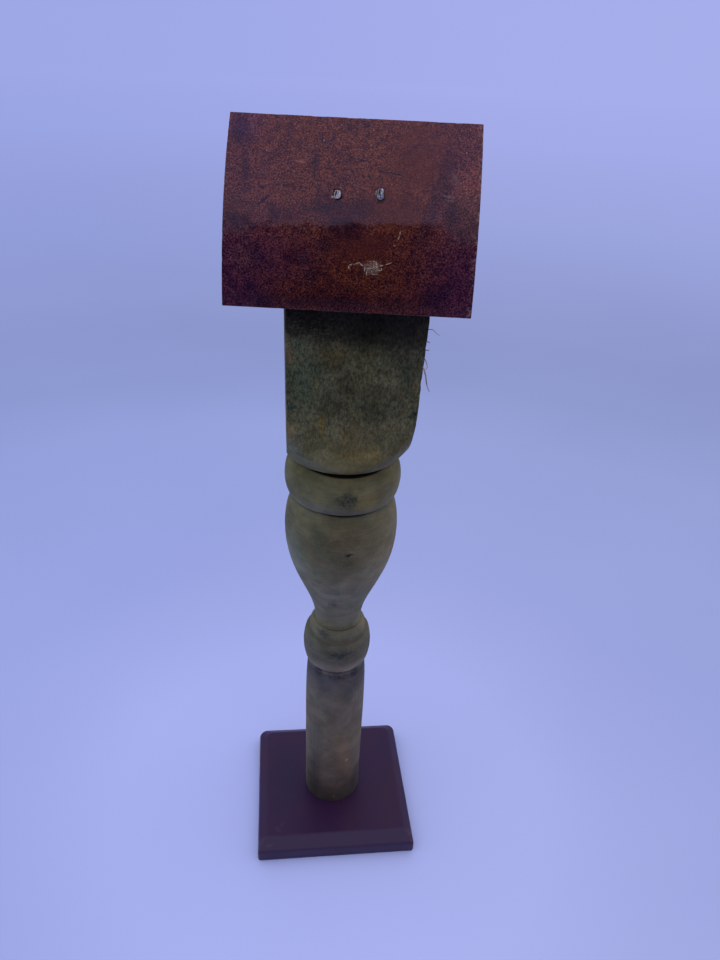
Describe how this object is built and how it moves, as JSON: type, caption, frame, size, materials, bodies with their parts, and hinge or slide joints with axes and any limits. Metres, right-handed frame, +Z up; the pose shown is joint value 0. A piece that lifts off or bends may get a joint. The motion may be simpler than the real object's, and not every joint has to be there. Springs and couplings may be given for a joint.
{
  "type": "tilt top table",
  "caption": "Miniature tilt top table: a turned wooden post on a bevelled square foot plate carries a small bowed wooden top on a butt hinge, tipping from level to upright.",
  "frame": {"origin": "centre of the square foot plate's flat underside", "axes": "+Z up along the post, +X to the right and -Y to the front, the side that the top tips towards; the foot plate's edges lie along X and Y"},
  "size_m": [0.056, 0.0517, 0.2169],
  "materials": {
    "turned_wood": "bare weathered softwood, dark olive brown with stains, matt",
    "painted_base": "dark plum-brown paint, satin, rubbed at the right edge",
    "varnished_wood": "reddish brown mottled varnish over a dark ground, satin gloss",
    "cleat_wood": "bare softwood, matt",
    "brass": "dull brass",
    "steel": "plain steel wire, dull"
  },
  "bodies": {
    "stand": {"base_plate": "painted_base", "base_nail_left": "steel", "base_nail_right": "steel", "post": "turned_wood", "hinge_leaf_post": "brass", "hinge_screw_post_left": "brass", "hinge_screw_post_right": "brass", "hinge_pin": "steel"},
    "top": {"hinge_leaf_top": "brass", "hinge_screw_top_left": "brass", "hinge_screw_top_right": "brass", "top_cleat": "cleat_wood", "top_brad_left": "steel", "top_brad_right": "steel", "top_panel": "varnished_wood"}
  },
  "joints": [
    {"name": "top_tilt", "type": "hinge", "parent": "stand", "child": "top", "pos_m": [-0.0004, -0.017, 0.182], "axis": [0.99, -0.1409, 0], "range_deg": [-65.4, 24.6]}
  ]
}
